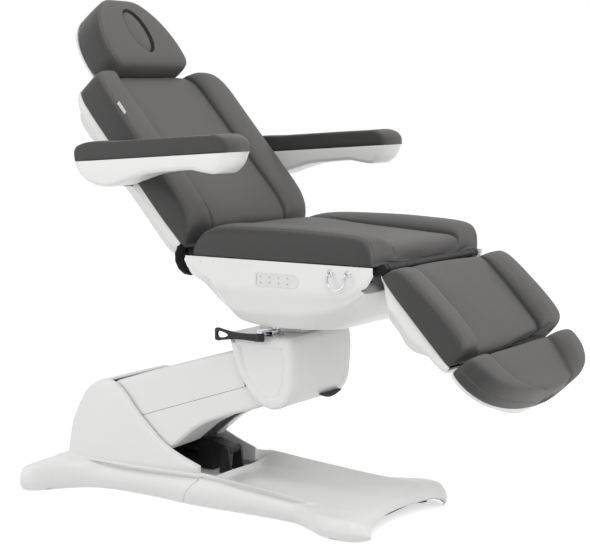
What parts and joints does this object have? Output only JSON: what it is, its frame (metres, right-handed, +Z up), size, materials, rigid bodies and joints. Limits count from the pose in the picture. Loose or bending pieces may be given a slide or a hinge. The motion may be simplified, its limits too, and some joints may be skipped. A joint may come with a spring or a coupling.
{
  "type": "spa treatment table",
  "caption": "Powered treatment table: lift base, swivel, tilting seat, hinged back, head rest, armrests, leg rest and sliding foot rest.",
  "frame": {"origin": "on the floor under the middle of the table's length and width", "axes": "+X from the head end to the foot end, +Y to the sitter's left, away from the keypad, +Z up"},
  "size_m": [1.5178, 0.86, 1.3927],
  "materials": {
    "leather": "soft satin, fine grain",
    "white_plastic": "smooth, semi-gloss",
    "white_metal": "semi-gloss paint",
    "button_plastic": "smooth",
    "black_metal": "satin powder coat",
    "black_plastic": "matt",
    "rubber": "matt",
    "steel": "brushed",
    "chrome": "polished"
  },
  "bodies": {
    "base": {"base_chassis": "black_metal", "front_base_cover": "white_plastic", "rear_base_cover": "white_plastic", "levelling_feet": "rubber", "control_box": "black_plastic", "lift_pins": "chrome", "lift_actuator": "black_plastic"},
    "lift_arm": {"lift_arm_frame": "black_metal", "arm_upper_cover": "white_plastic", "arm_lower_cover": "white_plastic"},
    "link": {"parallel_link": "steel"},
    "lift_rod": {"lift_rod": "chrome"},
    "carrier": {"carrier_frame": "black_metal", "carrier_cover": "white_plastic", "carrier_near_cap": "white_plastic", "carrier_far_cap": "white_plastic", "carrier_bumper": "rubber", "carrier_pins": "chrome", "lever_clamp": "chrome"},
    "turntable": {"turntable": "white_metal"},
    "lock_lever": {"lock_lever": "black_plastic"},
    "seat": {"seat_frame": "black_metal", "seat_pan": "white_plastic", "seat_cushion": "leather", "keypad": "white_plastic", "towel_hook": "chrome", "tilt_actuator": "black_plastic", "back_actuator": "black_plastic", "leg_actuator": "black_plastic"},
    "tilt_rod": {"tilt_rod": "chrome"},
    "back_rod": {"back_rod": "chrome"},
    "leg_rod": {"leg_rod": "chrome"},
    "back": {"back_frame": "black_metal", "back_shell": "white_plastic", "back_cushion": "leather", "hinge_shroud": "rubber"},
    "near_armrest": {"near_armrest": "white_plastic", "near_arm_pad": "leather"},
    "far_armrest": {"far_armrest": "white_plastic", "far_arm_pad": "leather"},
    "head_slide": {"head_slide": "steel"},
    "head": {"head_shell": "white_plastic", "head_cushion": "leather"},
    "face_plug": {"face_plug": "leather"},
    "leg": {"leg_frame": "black_metal", "leg_shell": "white_plastic", "leg_cushion": "leather"},
    "foot": {"foot_rails": "steel", "foot_shell": "white_plastic", "foot_cushion": "leather"},
    "button_1": {"button_1": "button_plastic"},
    "button_2": {"button_2": "button_plastic"},
    "button_3": {"button_3": "button_plastic"},
    "button_4": {"button_4": "button_plastic"},
    "button_5": {"button_5": "button_plastic"},
    "button_6": {"button_6": "button_plastic"},
    "button_7": {"button_7": "button_plastic"},
    "button_8": {"button_8": "button_plastic"}
  },
  "joints": [
    {"name": "lift", "type": "hinge", "parent": "base", "child": "lift_arm", "pos_m": [-0.5055, 0, 0.225], "axis": [0, -1, 0], "range_deg": [-20, 16]},
    {"name": "link", "type": "hinge", "parent": "base", "child": "link", "pos_m": [-0.5055, -0.04, 0.165], "axis": [0, -1, 0], "range_deg": [-20.1, 16.1]},
    {"name": "carrier", "type": "hinge", "parent": "lift_arm", "child": "carrier", "pos_m": [-0.02537, 0, 0.38472], "axis": [0, -1, 0], "range_deg": [-16.1, 20.1]},
    {"name": "lift_rod", "type": "slide", "parent": "base", "child": "lift_rod", "axis": [1, 0, 0], "range_m": [-0.03968, 0.03178]},
    {"name": "swivel", "type": "hinge", "parent": "carrier", "child": "turntable", "pos_m": [-0.02537, 0, 0.48472], "axis": [0, 0, 1], "range_deg": [-120, 120]},
    {"name": "lever", "type": "hinge", "parent": "carrier", "child": "lock_lever", "pos_m": [-0.01337, -0.166, 0.48472], "axis": [0, 0, 1], "range_deg": [0, 50]},
    {"name": "tilt", "type": "hinge", "parent": "turntable", "child": "seat", "pos_m": [-0.02537, 0, 0.54722], "axis": [0, -1, 0], "range_deg": [0, 12]},
    {"name": "tilt_rod", "type": "slide", "parent": "seat", "child": "tilt_rod", "axis": [1, 0, 0], "range_m": [-0.0002, 0.0158]},
    {"name": "back", "type": "hinge", "parent": "seat", "child": "back", "pos_m": [-0.15537, 0, 0.69972], "axis": [0, 1, 0], "range_deg": [-48, 27]},
    {"name": "back_rod", "type": "slide", "parent": "seat", "child": "back_rod", "axis": [1, 0, 0], "range_m": [-0.01721, 0.03044]},
    {"name": "leg", "type": "hinge", "parent": "seat", "child": "leg", "pos_m": [0.40463, 0, 0.69972], "axis": [0, -1, 0], "range_deg": [-18, 47]},
    {"name": "leg_rod", "type": "slide", "parent": "seat", "child": "leg_rod", "axis": [1, 0, 0], "range_m": [-0.01166, 0.03012]},
    {"name": "foot", "type": "slide", "parent": "leg", "child": "foot", "axis": [0.6769, 0, -0.7361], "range_m": [0, 0.12]},
    {"name": "head_slide", "type": "slide", "parent": "back", "child": "head_slide", "axis": [-0.6646, 0, 0.7472], "range_m": [0, 0.08]},
    {"name": "head_tilt", "type": "hinge", "parent": "head_slide", "child": "head", "pos_m": [-0.59674, 0, 1.13487], "axis": [0, -1, 0], "range_deg": [0, 30]},
    {"name": "face_plug", "type": "slide", "parent": "head", "child": "face_plug", "axis": [0.8126, 0, 0.5828], "range_m": [0, 0.11]},
    {"name": "near_armrest", "type": "hinge", "parent": "back", "child": "near_armrest", "pos_m": [-0.3344, -0.38, 0.90853], "axis": [0, -1, 0], "range_deg": [0, 95]},
    {"name": "far_armrest", "type": "hinge", "parent": "back", "child": "far_armrest", "pos_m": [-0.3344, 0.38, 0.90853], "axis": [0, -1, 0], "range_deg": [0, 95]},
    {"name": "button_1", "type": "slide", "parent": "seat", "child": "button_1", "axis": [0, 1, 0], "range_m": [0, 0.001], "stiffness_N_per_m": 900, "springref_m": -0.0005},
    {"name": "button_2", "type": "slide", "parent": "seat", "child": "button_2", "axis": [0, 1, 0], "range_m": [0, 0.001], "stiffness_N_per_m": 900, "springref_m": -0.0005},
    {"name": "button_3", "type": "slide", "parent": "seat", "child": "button_3", "axis": [0, 1, 0], "range_m": [0, 0.001], "stiffness_N_per_m": 900, "springref_m": -0.0005},
    {"name": "button_4", "type": "slide", "parent": "seat", "child": "button_4", "axis": [0, 1, 0], "range_m": [0, 0.001], "stiffness_N_per_m": 900, "springref_m": -0.0005},
    {"name": "button_5", "type": "slide", "parent": "seat", "child": "button_5", "axis": [0, 1, 0], "range_m": [0, 0.001], "stiffness_N_per_m": 900, "springref_m": -0.0005},
    {"name": "button_6", "type": "slide", "parent": "seat", "child": "button_6", "axis": [0, 1, 0], "range_m": [0, 0.001], "stiffness_N_per_m": 900, "springref_m": -0.0005},
    {"name": "button_7", "type": "slide", "parent": "seat", "child": "button_7", "axis": [0, 1, 0], "range_m": [0, 0.001], "stiffness_N_per_m": 900, "springref_m": -0.0005},
    {"name": "button_8", "type": "slide", "parent": "seat", "child": "button_8", "axis": [0, 1, 0], "range_m": [0, 0.001], "stiffness_N_per_m": 900, "springref_m": -0.0005}
  ],
  "couplings": [
    {"joint": "link", "follows": "lift", "ratio": 1},
    {"joint": "carrier", "follows": "lift", "ratio": -1},
    {"joint": "lift_rod", "follows": "lift", "m_per_rad": 0.1131},
    {"joint": "tilt_rod", "follows": "tilt", "m_per_rad": 0.0745},
    {"joint": "back_rod", "follows": "back", "m_per_rad": -0.0361},
    {"joint": "leg_rod", "follows": "leg", "m_per_rad": 0.03648}
  ]
}
